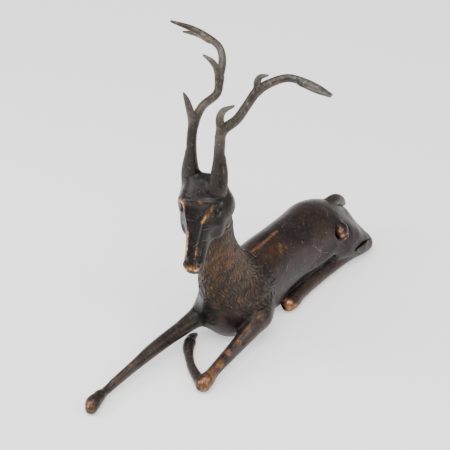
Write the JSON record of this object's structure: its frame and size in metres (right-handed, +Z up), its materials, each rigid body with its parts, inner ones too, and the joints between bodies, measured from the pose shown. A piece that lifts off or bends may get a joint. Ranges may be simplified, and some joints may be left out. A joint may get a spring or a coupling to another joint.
{
  "type": "recumbent stag statuette",
  "caption": "Cast bronze statuette of a recumbent stag with turned head, branching antlers, engraved mane and one folded foreleg.",
  "frame": {"origin": "on the flat sole under the torso casting, on the middle plane of the body, about midway between the outstretched hoof and the rump", "axes": "+Z up from the sole, the stag faces -Y, its left side is +X"},
  "size_m": [0.1956, 0.4015, 0.324],
  "materials": {
    "patina_body": "semi-gloss dark brown patina, rubbed to copper on high ridges",
    "patina_mane": "semi-gloss dark brown patina, rubbed to copper on high ridges",
    "patina_head": "semi-gloss dark brown patina, rubbed to copper on high ridges",
    "patina_antler": "semi-gloss dark brown patina, rubbed to copper on high ridges",
    "patina_antler_tip": "semi-gloss dark brown patina, rubbed to copper on high ridges",
    "patina_ear": "semi-gloss dark brown patina, rubbed to copper on high ridges",
    "patina_leg": "semi-gloss dark brown patina, rubbed to copper on high ridges",
    "patina_hind": "semi-gloss dark brown patina, rubbed to copper on high ridges",
    "patina_tail": "semi-gloss dark brown patina, rubbed to copper on high ridges",
    "raw_bronze": "bare cast bronze, dull"
  },
  "bodies": {
    "root": {"torso_shell": "patina_body", "neck_shell": "patina_mane", "head_casting": "patina_head", "right_antler": "patina_antler", "left_antler": "patina_antler", "left_antler_tip": "patina_antler_tip", "right_ear": "patina_ear", "left_ear": "patina_ear", "right_foreleg": "patina_leg", "left_foreleg": "patina_leg", "right_hind_leg": "patina_hind", "left_hind_leg": "patina_hind", "tail": "patina_tail", "neck_sleeve": "raw_bronze", "head_sleeve": "raw_bronze", "neck_sleeve_pins": "raw_bronze", "head_sleeve_pins": "raw_bronze", "tenon_pins": "raw_bronze", "antler_pins": "raw_bronze", "left_tip_dowel": "raw_bronze", "core_plugs": "raw_bronze"}
  },
  "joints": []
}
